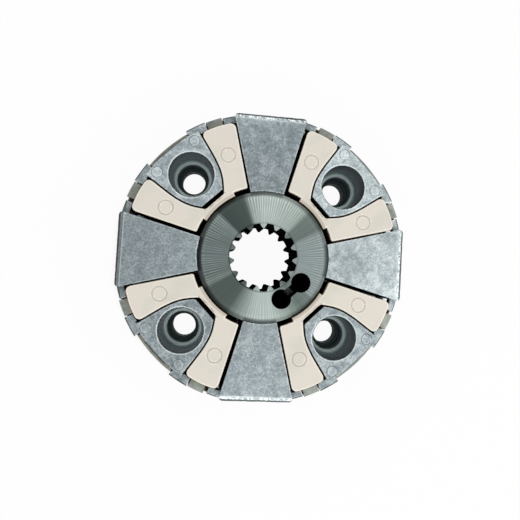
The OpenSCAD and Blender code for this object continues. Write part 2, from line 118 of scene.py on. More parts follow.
@dataclass(frozen=True)
class Recipe:
    """The node tree of one material or of the world, and what its finishes ask about a place on the surface.

    Lengths go in and come out in millimetres, apart from place, which the textures read in metres.
    """

    tree: NodeTree

    def add(self, kind: str, inputs: Mapping[str | int, Input] | Sequence[Input] = (), output: str | int = 0,
            stops: Stops = (), **settings: object) -> NodeSocket:
        """Adds a shader node with its settings and links.

        Args:
            kind: The node's type without the leading "ShaderNode".
            inputs: What its inputs take, in their order or by name or number: a socket, a value or a
                colour as "#rrggbb".
            output: The name or number of the output that is wanted.
            stops: The places, from 0 to 1, and colours of a colour ramp.
            **settings: The node's own properties.

        Returns:
            That output's socket.
        """
        node = self.tree.nodes.new("ShaderNode" + kind)
        for name, value in settings.items():
            setattr(node, name, value)
        for k, (place, code) in enumerate(stops):
            row = node.color_ramp.elements
            stop = row[k] if k < len(row) else row.new(1.0)
            stop.position, stop.color = place, linear(code)
        pairs = inputs.items() if isinstance(inputs, Mapping) else enumerate(inputs)
        for key, value in pairs:
            if isinstance(value, NodeSocket):
                self.tree.links.new(value, node.inputs[key])
            else:
                node.inputs[key].default_value = linear(value) if isinstance(value, str) else value
        return node.outputs[output]

    def show(self, shader: NodeSocket, where: str = "Material") -> None:
        """Ends the recipe: sends its shader to the output of the material or the world."""
        self.tree.links.new(shader, self.tree.nodes.new("ShaderNodeOutput" + where).inputs["Surface"])

    def height(self, place: NodeSocket) -> NodeSocket:
        """Gives how far a place lies in front of the back faces."""
        return self.add("Math", (self.add("SeparateXYZ", (place,), "Z"), MM), operation="DIVIDE")

    def radius(self, place: NodeSocket) -> NodeSocket:
        """Gives how far a place lies from the shaft's axis."""
        flat = self.add("VectorMath", (place, (1, 1, 0)), operation="MULTIPLY")
        return self.add("Math", (self.add("VectorMath", (flat,), "Value", operation="LENGTH"), MM),
                        operation="DIVIDE")

    def folded(self, place: NodeSocket) -> tuple[NodeSocket, NodeSocket]:
        """Folds the four quarters of the coupling onto one, so that one drawing serves all its stations.

        Args:
            place: The position on the object.

        Returns:
            The larger and the smaller of its distances from the shaft along X and along Y.
        """
        along_x = self.add("SeparateXYZ", (self.add("VectorMath", (place,), operation="ABSOLUTE"),))
        x_mm = self.add("Math", (along_x, MM), operation="DIVIDE")
        y_mm = self.add("Math", (along_x.node.outputs["Y"], MM), operation="DIVIDE")
        return (self.add("Math", (x_mm, y_mm), operation="MAXIMUM"),
                self.add("Math", (x_mm, y_mm), operation="MINIMUM"))

    def away(self, far: NodeSocket, near: NodeSocket, at_mm: tuple[float, float]) -> NodeSocket:
        """Gives how far a folded place is from a point."""
        here = self.add("CombineXYZ", (far, near))
        return self.add("VectorMath", (here, (*at_mm, 0)), "Value", operation="DISTANCE")

    def off(self, value: NodeSocket, at: float) -> NodeSocket:
        """Gives how far a value is off a number, on either side."""
        return self.add("Math", (self.add("Math", (value, at), operation="SUBTRACT"),), operation="ABSOLUTE")

    def openness(self, gap: Gap) -> NodeSocket:
        """Gives how open a place is, from 0 deep in a gap to 1 outside."""
        around = self.add("AmbientOcclusion", {"Distance": gap.reach_mm * MM}, "AO", samples=6)
        return self.add("MapRange", (around, gap.shut, gap.free), interpolation_type="SMOOTHSTEP")


def blank(name: str) -> tuple[Material, Recipe]:
    """Makes an empty node material.

    Args:
        name: Its name.

    Returns:
        The material and its recipe.
    """
    material = bpy.data.materials.new(name)
    material.use_nodes = True
    material.node_tree.nodes.clear()
    return material, Recipe(material.node_tree)


@dataclass(frozen=True)
class DieCastAluminium:
    """Die-cast aluminium alloy, bare: a dull grey skin with cloudy flow marks, crisp grit, and rubbed edges with
    painted highlights on them.

    Painted shade draws its outline dark, and its stepped bolt hole is machined, with a painted highlight at the
    shoulder and painted shade below and up the recess.

    Args:
        name: The material's name.
        tone: How bright the whole piece shows.
        lip_rim_mm: The radius of the outer faces of its lips.
        inner: A factor for the tone near the hub.
        outer: A factor for the tone at the rim.
        bevel: A factor for the tone of a wing's outer bevel, set for each station: painted light and shade.
        flecks: How strong the bright patches on that bevel are, rubbed and with painted glints.
        cloudy: How strong the clouds are.
        seams: How dark the creases are where two flows of the melt have met.
        crease: How bright the painted highlight along the foot of the bevel is.
    """

    name: str
    tone: CastTone
    lip_rim_mm: float
    inner: float = 1.0
    outer: float = 1.0
    bevel: float = 0.85
    flecks: float = 1.0
    cloudy: float = 1.0
    seams: float = 0.3
    crease: float = 0.3
    # The colour of rubbed edges, with painted glints on them, and of the painted highlight round the recess's
    # mouth
    wear_and_glint: str = "#eef3f1"
    mouth: str = "#cfd6d6"
    # The bolt hole's tones from its back end, at 0, to its mouth in the front face, at 1: painted light and
    # shade, with a highlight on the shoulder and the recess going from light at the shoulder to dark at the
    # mouth
    hole: Stops = (
        (0.0, "#5f6d6c"), (0.492, "#5f6d6c"), (0.502, "#aebbbb"), (0.514, "#95a3a4"), (0.53, "#a6b3b4"),
        (0.56, "#8f9d9e"), (0.64, "#667577"), (0.74, "#455355"), (0.86, "#313f41"), (1.0, "#2a383c"),
    )
    cloud_mm: float = 10.0
    flow_mm: float = 2.8
    seam_mm: float = 15.0
    # The real grit is about 0.3 mm; finer than 1 mm it wouldn't show
    grit_mm: float = 1.1
    # The patches in which edges and bevels are rubbed and carry painted glints, and how wide and how round an
    # edge is
    patch_mm: float = 2.2
    fleck_mm: float = 2.0
    edge_mm: float = 1.2
    round_mm: float = 0.4
    relief_mm: float = 0.07
    gap: Gap = Gap(14.0, 0.22, 0.75)
    # How bright the rubbed edges with their painted highlights are, and how much of the tone the painted shade
    # at the outer edges leaves
    edge_share: float = 0.7
    edge_shade_leaves: float = 0.36
    bore_r_mm: float = 16.9
    mouth_r_mm: float = 17.2
    seat_mm: float = 23.4
    # Between these distances from the shaft the tone goes from inner to outer
    lean_mm: tuple[float, float] = (50.0, 104.0)
    # Where a wing's outer bevel starts, where the painted shade of its outer end begins, and where an insert's
    # outer edge lies
    bevel_at_mm: float = 103.9
    bevel_dark_mm: float = 106.1
    crown_at_mm: float = 105.2
    # How far off the middle plane the wings' bevels and the lips' ends are
    bevels_off_mm: float = 22.0
    lips_off_mm: float = 15.6
    # How high over the back faces the edges of the inserts and of the wings' ends lie that take painted shade
    insert_edge_mm: float = 40.5
    wing_edge_mm: float = 45.4
    mark_at_mm: tuple[float, float] = (82.71, 57.27)
    mark_r_mm: float = 3.9

    def skin(self, recipe: Recipe, place: NodeSocket) -> tuple[NodeSocket, NodeSocket]:
        """Draws the cast skin.

        Args:
            recipe: The material's recipe.
            place: The position on the object.

        Returns:
            The skin's colour and its relief, which the bump reads.
        """
        cloud, flow, grit, fold = (
            recipe.add("TexNoise", {"Vector": place, "Scale": per_mm(size), "Detail": detail,
                                    "Roughness": rough, "Distortion": stirred})
            for size, detail, rough, stirred in ((self.cloud_mm, 3.0, 0.55, 0.8), (self.flow_mm, 4.0, 0.65, 1.2),
                                                 (self.grit_mm, 2.0, 0.7, 0.0), (self.seam_mm, 4.0, 0.6, 0.6)))
        clouds = recipe.add("Math", (cloud, 0.4 * self.cloudy, 0.32 - 0.2 * self.cloudy),
                            operation="MULTIPLY_ADD")
        flows = recipe.add("Math", (flow, 0.36, clouds), operation="MULTIPLY_ADD")
        # The grit stands out in some clouds and is smeared over in others
        crisp = recipe.add("MapRange", (cloud, 0.42, 0.58, 0.34 - 0.2 * self.cloudy, 0.34 + 0.14 * self.cloudy))
        grains = recipe.add("Math", (grit, 0.5), operation="SUBTRACT")
        tone = recipe.add("Math", (grains, crisp, flows), operation="MULTIPLY_ADD")
        dark, middle, light = self.tone.value
        colour = recipe.add("ValToRGB", (tone,), stops=((0.42, dark), (0.5, middle), (0.58, light)))
        pits = recipe.add("MapRange", (grit, 0.64, 0.72, 1.0, 0.72))
        # Where two flows of the melt have met, a fine dark crease is left
        seam = recipe.add("MapRange", (recipe.off(fold, 0.5), 0.0, 0.022, 1 - 0.2 * self.seams, 1.0))
        shade = recipe.add("Math", (pits, seam), operation="MULTIPLY")
        relief = recipe.add("Math", (grit, 0.5, flow), operation="MULTIPLY_ADD")
        return recipe.add("VectorMath", {0: colour, "Scale": shade}, operation="SCALE"), relief

    def edge_wear_and_highlight(self, recipe: Recipe, place: NodeSocket) -> NodeSocket:
        """Finds the edges that handling and tumbling have rubbed bright, and paints highlights along them.

        Args:
            recipe: The material's recipe.
            place: The position on the object.

        Returns:
            A value from 0 to 1.
        """
        soft = recipe.add("Bevel", {"Radius": self.edge_mm * MM}, samples=4)
        flat = recipe.add("NewGeometry", output="Normal")
        turn = recipe.add("VectorMath", (soft, flat), "Value", operation="DOT_PRODUCT")
        edge = recipe.add("MapRange", (turn, 0.995, 0.925))
        patch = recipe.add("TexNoise", {"Vector": place, "Scale": per_mm(self.patch_mm), "Detail": 3.0})
        return recipe.add("Math", (edge, recipe.add("MapRange", (patch, 0.36, 0.56))), operation="MULTIPLY")

    def rubbed(self, recipe: Recipe, place: NodeSocket, far: NodeSocket, height: NodeSocket) -> NodeSocket:
        """Finds the small bright patches along a wing's outer bevel, rubbed and with painted glints, and the
        painted highlight along the bevel's foot.

        Args:
            recipe: The material's recipe.
            place: The position on the object.
            far: The larger of the two folded distances from the shaft.
            height: The distance from the back faces.

        Returns:
            A value from 0 to 1.
        """
        foot = self.bevel_at_mm
        inner = recipe.add("MapRange", (far, foot + 0.5, foot + 0.8))
        outer = recipe.add("Math", (far, self.bevel_dark_mm + 0.1), operation="LESS_THAN")
        strip = recipe.add("Math", (inner, outer), operation="MULTIPLY")
        patch = recipe.add("TexNoise", {"Vector": place, "Scale": per_mm(self.fleck_mm), "Detail": 3.0,
                                        "Roughness": 0.75})
        wear_and_glint = recipe.add("MapRange", (patch, 0.47, 0.55, 0, self.flecks))
        patches = recipe.add("Math", (strip, wear_and_glint), operation="MULTIPLY")
        line = recipe.add("MapRange", (recipe.off(far, foot + 0.2), 0.5, 0.2, 0, self.crease))
        both = recipe.add("Math", (patches, line), operation="MAXIMUM")
        # Only the sloping part near the front and back faces is rubbed and glints, not the flat outer end
        sloping = recipe.add("Math", (recipe.off(height, MIDDLE_MM), self.bevels_off_mm),
                             operation="GREATER_THAN")
        return recipe.add("Math", (both, sloping), operation="MULTIPLY")

    def outline(self, recipe: Recipe, place: NodeSocket, far: NodeSocket, near: NodeSocket,
                height: NodeSocket) -> NodeSocket:
        """Finds the outer edges, which take a painted shade.

        Args:
            recipe: The material's recipe.
            place: The position on the object.
            far: The larger of the two folded distances from the shaft.
            near: The smaller one.
            height: The distance from the back faces.

        Returns:
            A value from 0 to 1.
        """
        diagonal = recipe.add("Math", (recipe.add("Math", (far, near), operation="ADD"), math.sqrt(2)),
                              operation="DIVIDE")
        crown = recipe.add("MapRange", (diagonal, self.crown_at_mm - 0.3, self.crown_at_mm))
        front = recipe.add("Math", (height, self.insert_edge_mm), operation="GREATER_THAN")
        insert_edge = recipe.add("Math", (crown, front), operation="MULTIPLY")
        end = recipe.add("MapRange", (far, self.bevel_dark_mm, self.bevel_dark_mm + 0.3))
        corner = recipe.add("Math", (height, self.wing_edge_mm, 0.7), operation="COMPARE")
        wing_edge = recipe.add("Math", (end, corner), operation="MULTIPLY")
        rim = recipe.add("MapRange", (recipe.radius(place), self.lip_rim_mm - 1.3, self.lip_rim_mm - 1.0))
        at_lip = recipe.add("Math", (recipe.off(height, MIDDLE_MM), self.lips_off_mm),
                            operation="GREATER_THAN")
        beside = recipe.add("Math", (far, self.bevel_dark_mm), operation="LESS_THAN")
        on_lip = recipe.add("Math", (at_lip, beside), operation="MULTIPLY")
        lip_edge = recipe.add("Math", (rim, on_lip), operation="MULTIPLY")
        edges = recipe.add("Math", (insert_edge, wing_edge), operation="MAXIMUM")
        return recipe.add("Math", (edges, lip_edge), operation="MAXIMUM")

    def marked(self, recipe: Recipe, far: NodeSocket, near: NodeSocket) -> NodeSocket:
        """Darkens a ring round the feet of the raised moulding marks and lightens their tops.

        Args:
            recipe: The material's recipe.
            far: The larger of the two folded distances from the shaft.
            near: The smaller one.

        Returns:
            A factor for the tone.
        """
        away = recipe.away(far, near, self.mark_at_mm)
        foot = recipe.add("MapRange", (recipe.off(away, self.mark_r_mm + 0.2), 0.5, 0.2, 1.0, 0.62))
        top = recipe.add("MapRange", (away, self.mark_r_mm - 0.3, self.mark_r_mm - 0.6, 1.0, 1.14))
        return recipe.add("Math", (foot, top), operation="MULTIPLY")

    def bored(self, recipe: Recipe, skin: NodeSocket, away: NodeSocket, height: NodeSocket) -> NodeSocket:
        """Colours the stepped bolt hole in painted light and shade: a dark hole, a highlit shoulder and a graded
        recess.

        Args:
            recipe: The material's recipe.
            skin: The colour outside the hole.
            away: The distance from the bolt's axis.
            height: The distance from the back faces.

        Returns:
            The colour of skin and hole together.
        """
        wall = recipe.add("ValToRGB", (recipe.add("MapRange", (height, 0, FRONT_MM)),), stops=self.hole)
        mouth = recipe.add("MapRange", (recipe.off(away, self.mouth_r_mm), 0.7, 0.4, 0, 0.6))
        rim = recipe.add("Mix", {"Factor": mouth, COLOUR_A: skin, COLOUR_B: self.mouth}, COLOUR_OUT,
                         data_type="RGBA")
        inside = recipe.add("Math", (away, self.bore_r_mm), operation="LESS_THAN")
        return recipe.add("Mix", {"Factor": inside, COLOUR_A: rim, COLOUR_B: wall}, COLOUR_OUT,
                          data_type="RGBA")

    def build(self) -> Material:
        """Joins all that the finish draws in one material.

        Returns:
            The material.
        """
        material, recipe = blank(self.name)
        place = recipe.add("TexCoord", output="Object")
        height = recipe.height(place)
        far, near = recipe.folded(place)
        bolt = recipe.away(far, near, BOLT_AT_MM)
        skin, relief = self.skin(recipe, place)
        dark_line = self.outline(recipe, place, far, near, height)
        clear = recipe.add("MapRange", (dark_line, 0, 1, self.edge_share, 0))
        edges_worn_and_highlit = recipe.add("Math", (self.edge_wear_and_highlight(recipe, place), clear), operation="MULTIPLY")
        bright = recipe.add("Math", (edges_worn_and_highlit, self.rubbed(recipe, place, far, height)), operation="MAXIMUM")
        wear_and_glint = recipe.add("Mix", {"Factor": bright, COLOUR_A: skin, COLOUR_B: self.wear_and_glint}, COLOUR_OUT,
                          data_type="RGBA")
        lean = recipe.add("MapRange", (far, *self.lean_mm, self.inner, self.outer))
        slope = recipe.add("MapRange", (far, self.bevel_at_mm - 0.3, self.bevel_at_mm + 0.3, 1.0, self.bevel))
        painted_dark = recipe.add("Math", (recipe.add("MapRange", (dark_line, 0, 1, 1, self.edge_shade_leaves)),
                                     self.marked(recipe, far, near)), operation="MULTIPLY")
        leaning = recipe.add("Math", (lean, slope), operation="MULTIPLY")
        shade = recipe.add("Math", (leaning, painted_dark), operation="MULTIPLY")
        toned = recipe.add("VectorMath", {0: wear_and_glint, "Scale": shade}, operation="SCALE")
        in_bore = recipe.add("Math", (bolt, self.bore_r_mm), operation="LESS_THAN")
        # Painted shade darkens the colour in gaps; the hole's own colours already hold its shade
        unshaded = recipe.add("Math", (recipe.openness(self.gap), in_bore), operation="MAXIMUM")
        colour = recipe.add("VectorMath", {0: self.bored(recipe, toned, bolt, height),
                                           "Scale": recipe.add("MapRange", (unshaded, 0, 1, 0.04, 1))},
                            operation="SCALE")
        below_seat = recipe.add("Math", (height, self.seat_mm), operation="LESS_THAN")
        oily = recipe.add("Math", (in_bore, below_seat), operation="MULTIPLY")
        # Gaps and the hole below the seat are kept from mirroring the floor, as bare metal would, so that they
        # stay dark as painted shade
        bare = recipe.add("Math", (unshaded, recipe.add("MapRange", (in_bore, 0, 1, 0.85, 0.5))),
                          operation="MULTIPLY")
        metal = recipe.add("Math", (bare, recipe.add("MapRange", (oily, 0, 1, 1, 0))), operation="MULTIPLY")
        gloss = recipe.add("Math", (unshaded, recipe.add("MapRange", (oily, 0, 1, 0.5, 0.02))),
                           operation="MULTIPLY")
        soft = recipe.add("Bevel", {"Radius": self.round_mm * MM}, samples=4)
        bump = recipe.add("Bump", {"Height": relief, "Distance": self.relief_mm * MM, "Strength": 0.8,
                                   "Normal": soft})
        recipe.show(recipe.add("BsdfPrincipled", {
            "Base Color": colour, "Metallic": metal, "Specular IOR Level": gloss, "Normal": bump,
            "Roughness": recipe.add("MapRange", (relief, 0.4, 1.1, 0.42, 0.6))}))
        return material


@dataclass(frozen=True)
class TurnedSteel:
    """Bare carbon steel, faced on a lathe: pale and dark fans of painted reflection, crossed by fine radial
    chatter marks.

    The walls inside its bore and slot are painted black as shade.
    """

    name: str = "turned_steel"
    # The painted reflection of the facing at each angle round the shaft, in degrees
    fans: Stops = (
        (-180, "#667070"), (-157, "#616b68"), (-151, "#6e7976"), (-147, "#4c5653"), (-122, "#505a57"),
        (-108, "#85918c"), (-96, "#a4afab"), (-80, "#a9b4b0"), (-66, "#929e99"), (-50, "#65706c"),
        (-38, "#6a7572"), (-35, "#838e8c"), (0, "#858f8f"), (26, "#818c8a"), (31, "#656f6c"),
        (47, "#68736e"), (52, "#939e99"), (72, "#9fa9a5"), (92, "#a9b3b0"), (107, "#96a19d"),
        (113, "#495350"), (138, "#3f4947"), (141, "#727d7b"), (163, "#616b69"), (180, "#667070"),
    )
    # How strong the chatter marks are at each angle, following the painted reflection fans
    chatter: tuple[tuple[float, float], ...] = (
        (-180, 1.2), (-152, 1.0), (-148, 0.15), (-118, 0.1), (-104, 0.45), (-68, 0.35), (-48, 0.1), (-38, 0.2),
        (-34, 0.9), (27, 0.9), (31, 0.1), (48, 0.1), (56, 0.8), (108, 1.0), (113, 0.1), (134, 0.15), (138, 1.2),
        (180, 1.2),
    )
    mark_deg: float = 2.6
    break_mm: float = 7.0
    # The real feed marks are about 0.2 mm apart; as fine as that they wouldn't show
    feed_mm: float = 0.9
    # The radius of each fine bright ring and how much it lifts the tone; the two at the chamfer's edges are
    # painted highlights
    rings: tuple[tuple[float, float], ...] = ((44.6, 1.1), (46.5, 1.16), (49.3, 1.3))
    relief_mm: float = 0.02
    gap: Gap = Gap(5.0, 0.1, 0.6)
    # How far the ends are from the hub's middle, and how far in from them its inner walls are painted dark as
    # shade
    half_long_mm: float = 23.0
    shaded_from_mm: float = 5.0
    # The chamfer round the front face: its inner radius and the height of its foot
    chamfer_at_mm: float = 46.4
    chamfer_low_mm: float = 43.4

    def turn_share(self, recipe: Recipe, place: NodeSocket) -> NodeSocket:
        """Finds the angle round the shaft.

        Args:
            recipe: The material's recipe.
            place: The position on the object.

        Returns:
            A value from 0 at -180 degrees to 1 at 180.
        """
        along_x = recipe.add("SeparateXYZ", (place,))
        turn = recipe.add("Math", (along_x.node.outputs["Y"], along_x), operation="ARCTAN2")
        return recipe.add("Math", (turn, 1 / math.tau, 0.5), operation="MULTIPLY_ADD")

    def marks(self, recipe: Recipe, share: NodeSocket, out: NodeSocket, place: NodeSocket,
              radius: NodeSocket) -> NodeSocket:
        """Draws the fine pale chatter lines that run outwards, their strength following the painted reflection
        fans: strong in some fans and faint in others.

        Args:
            recipe: The material's recipe.
            share: The angle round the shaft, from 0 to 1.
            out: The direction away from the shaft.
            place: The position on the object.
            radius: The distance from the shaft's axis.

        Returns:
            A factor near 1 for the colour.
        """
        drift = recipe.add("TexNoise", {"Vector": out, "Scale": 5.0, "Detail": 1.0})
        count = recipe.add("Math", (share, 360 / self.mark_deg,
                                    recipe.add("Math", (drift, 1.6), operation="MULTIPLY")),
                           operation="MULTIPLY_ADD")
        phase = recipe.off(recipe.add("Math", (count,), operation="FRACT"), 0.5)
        line = recipe.add("MapRange", (phase, 0.26, 0.12))
        chatter = recipe.add("FloatCurve", {"Value": share})
        curve = chatter.node.mapping.curves[0]
        curve.points[0].location = (0, self.chatter[0][1])
        curve.points[1].location = (1, self.chatter[-1][1])
        for angle, strength in self.chatter[1:-1]:
            curve.points.new((angle + 180) / 360, strength).handle_type = "VECTOR"
        chatter.node.mapping.update()
        broken = recipe.add("TexNoise", {"Vector": place, "Scale": per_mm(self.break_mm), "Detail": 2.0})
        patchy = recipe.add("Math", (chatter, recipe.add("MapRange", (broken, 0.35, 0.6, 0.3, 1.1))),
                            operation="MULTIPLY")
        faded = recipe.add("Math", (patchy, recipe.add("MapRange", (radius, 25, 38, 0.35, 1.0))),
                           operation="MULTIPLY")
        on_face = recipe.add("Math", (radius, self.chamfer_at_mm), operation="LESS_THAN")
        strength = recipe.add("Math", (faded, on_face), operation="MULTIPLY")
        ridge = recipe.add("Math", (strength, recipe.add("MapRange", (line, 0, 1, -0.14, 0.5))),
                           operation="MULTIPLY")
        grain = recipe.add("TexNoise", {"Vector": out, "Scale": 30.0, "Detail": 2.0})
        return recipe.add("Math", (ridge, recipe.add("MapRange", (grain, 0.35, 0.65, 0.94, 1.06))),
                          operation="ADD")

    def inner_wall(self, recipe: Recipe, radius: NodeSocket, height: NodeSocket) -> NodeSocket:
        """Finds the walls of the bore, the slot and the cross hole.

        Args:
            recipe: The material's recipe.
            radius: The distance from the shaft's axis.
            height: The distance from the back end.

        Returns:
            1 on those walls and 0 elsewhere.
        """
        upright = recipe.add("SeparateXYZ", (recipe.add("NewGeometry", output="True Normal"),), "Z")
        level = recipe.add("Math", (upright,), operation="ABSOLUTE")
        steep = recipe.add("Math", (level, 0.35), operation="LESS_THAN")
        from_end = recipe.add("Math", (self.half_long_mm, recipe.off(height, self.half_long_mm)),
                              operation="SUBTRACT")
        deep = recipe.add("Math", (from_end, self.shaded_from_mm), operation="GREATER_THAN")
        inside = recipe.add("Math", (radius, self.chamfer_at_mm - 0.3), operation="LESS_THAN")
        wall = recipe.add("Math", (steep, deep), operation="MAXIMUM")
        return recipe.add("Math", (wall, inside), operation="MULTIPLY")

    def build(self) -> Material:
        """Joins all that the finish draws in one material.

        Returns:
            The material.
        """
        material, recipe = blank(self.name)
        place = recipe.add("TexCoord", output="Object")
        flat = recipe.add("VectorMath", (place, (1, 1, 0)), operation="MULTIPLY")
        out = recipe.add("VectorMath", (flat,), operation="NORMALIZE")
        radius, height = recipe.radius(place), recipe.height(place)
        share = self.turn_share(recipe, place)
        fans = recipe.add("ValToRGB", (share,), stops=[((angle + 180) / 360, code) for angle, code in self.fans])
        # The chamfer turns away from the light on the left
        side = recipe.add("MapRange", (recipe.add("SeparateXYZ", (out,)), -1, 0.2, 0.34, 1.1))
        on_chamfer = recipe.add("MapRange", (radius, self.chamfer_at_mm - 0.25, self.chamfer_at_mm + 0.25))
        shade = recipe.add("MapRange", (on_chamfer, 0, 1, 1, side))
        for at, lift in self.rings:
            drawn = recipe.add("MapRange", (recipe.off(radius, at), 0.5, 0.25, 1.0, lift))
            shade = recipe.add("Math", (shade, drawn), operation="MULTIPLY")
        wall = self.inner_wall(recipe, radius, height)
        # Painted shade: the colour darkens in gaps and goes nearly black on the inner walls
        front = recipe.add("Math", (height, self.chamfer_low_mm), operation="GREATER_THAN")
        unshaded = recipe.add("Math", (recipe.openness(self.gap), front), operation="MAXIMUM")
        wall_and_gap_shade = recipe.add("Math", (recipe.add("MapRange", (unshaded, 0, 1, 0.1, 1)),
                                  recipe.add("MapRange", (wall, 0, 1, 1, 0.02))), operation="MULTIPLY")
        marked = recipe.add("VectorMath", {0: fans, "Scale": self.marks(recipe, share, out, place, radius)},
                            operation="SCALE")
        colour = recipe.add("VectorMath", {0: marked, "Scale": recipe.add("Math", (shade, wall_and_gap_shade),
                                                                          operation="MULTIPLY")},
                            operation="SCALE")
        # The tool has left fine rings on the face and along the walls
        along = recipe.add("Math", (recipe.add("Math", (radius, height), operation="ADD"), MM),
                           operation="MULTIPLY")
        turning = recipe.add("TexNoise", {"W": along, "Scale": per_mm(self.feed_mm), "Detail": 2.0},
                             noise_dimensions="1D")
        bump = recipe.add("Bump", {"Height": turning, "Distance": self.relief_mm * MM, "Strength": 0.4})
        dull = recipe.add("Math", (wall, recipe.add("Math", (on_chamfer, 0.7), operation="MULTIPLY")),
                          operation="MAXIMUM")
        recipe.show(recipe.add("BsdfPrincipled", {
            "Base Color": colour, "Metallic": recipe.add("MapRange", (dull, 0, 1, 1, 0)),
            "Roughness": recipe.add("MapRange", (wall, 0, 1, 0.38, 0.8)),
            "Specular IOR Level": recipe.add("MapRange", (wall, 0, 1, 0.5, 0)), "Anisotropic": 0.5,
            "Normal": bump, "Tangent": recipe.add("Tangent", direction_type="RADIAL", axis="Z")}))
        return material


@dataclass(frozen=True)
class BlackenedSteel:
    """Black-oxided screw steel: near black with an oily gloss, rubbed grey where a key has turned it."""

    name: str = "blackened_steel"
    base: str = "#2b2e31"
    rubbed: str = "#5c6164"
    patch_mm: float = 1.6
    relief_mm: float = 0.02
    gap: Gap = Gap(8.0, 0.2, 0.7)

    def build(self) -> Material:
        """Joins all that the finish draws in one material.

        Returns:
            The material.
        """
        material, recipe = blank(self.name)
        place = recipe.add("TexCoord", output="Object")
        patch = recipe.add("TexNoise", {"Vector": place, "Scale": per_mm(self.patch_mm), "Detail": 4.0})
        oxide = recipe.add("ValToRGB", (patch,), stops=((0.45, self.base), (0.75, self.rubbed)))
        # Painted shade: the screws darken deep in their gaps
        unshaded = recipe.add("MapRange", (recipe.openness(self.gap), 0, 1, 0.1, 1))
        bump = recipe.add("Bump", {"Height": patch, "Distance": self.relief_mm * MM, "Strength": 0.5})
        recipe.show(recipe.add("BsdfPrincipled", {
            "Base Color": recipe.add("VectorMath", {0: oxide, "Scale": unshaded}, operation="SCALE"),
            "Metallic": 1.0, "Roughness": 0.38, "Normal": bump}))
        return material


